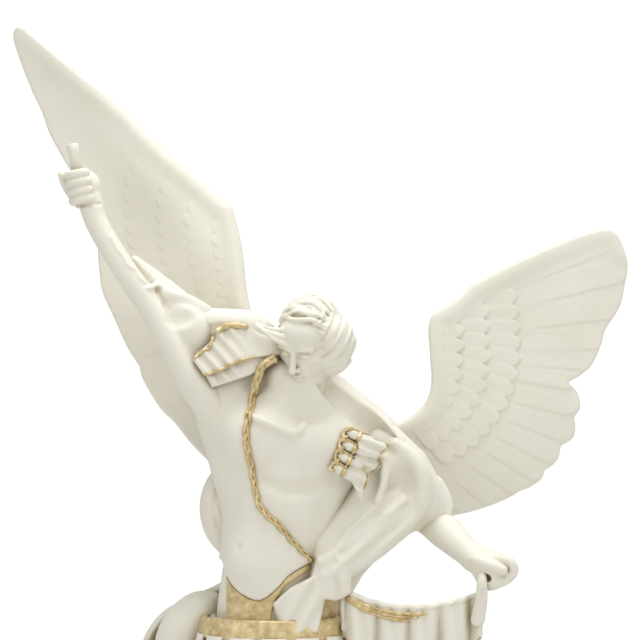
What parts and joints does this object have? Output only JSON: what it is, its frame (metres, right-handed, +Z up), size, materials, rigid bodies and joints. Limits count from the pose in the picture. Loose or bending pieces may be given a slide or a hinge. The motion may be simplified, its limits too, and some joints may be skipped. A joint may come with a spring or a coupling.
{
  "type": "winged figurine",
  "caption": "White cast-resin winged angel in antique dress on a rock base, with a raised fist round a hilt, a lowered arm holding a cloak corner and gold-painted trim.",
  "frame": {"origin": "middle of the felt underside", "axes": "+Z up; -Y towards the viewer, the way the figure faces; +X to the viewer's right"},
  "size_m": [0.1689, 0.0718, 0.273],
  "materials": {
    "resin_white": "matt warm white cast resin",
    "gold_paint": "hand-brushed antique gold paint, worn at the edges",
    "steel": "bright drawn steel pin",
    "felt": "dark green felt"
  },
  "bodies": {
    "figure": {"felt_pad": "felt", "base_rock": "resin_white", "right_leg": "resin_white", "left_leg": "resin_white", "right_leg_rod": "steel", "left_leg_rod": "steel", "skirt": "resin_white", "skirt_lappets": "gold_paint", "waist_rod": "steel", "torso": "resin_white", "chest_braid": "gold_paint", "hem_braid": "gold_paint", "head": "resin_white", "neck_dowel": "steel", "right_arm": "resin_white", "right_arm_dowel": "steel", "right_sleeve": "resin_white", "left_arm": "resin_white", "left_arm_dowel": "steel", "left_sleeve": "resin_white", "left_lappets": "resin_white", "side_drape": "resin_white", "cloak": "resin_white", "swag": "resin_white", "right_wing": "resin_white", "right_wing_upper_dowel": "steel", "right_wing_lower_dowel": "steel", "left_wing": "resin_white", "left_wing_upper_dowel": "steel", "left_wing_lower_dowel": "steel"},
    "hilt": {"hilt": "resin_white"}
  },
  "joints": [
    {"name": "hilt_slide", "type": "slide", "parent": "figure", "child": "hilt", "axis": [-0.1772, 0, 0.9842], "range_m": [0, 0.008]}
  ]
}
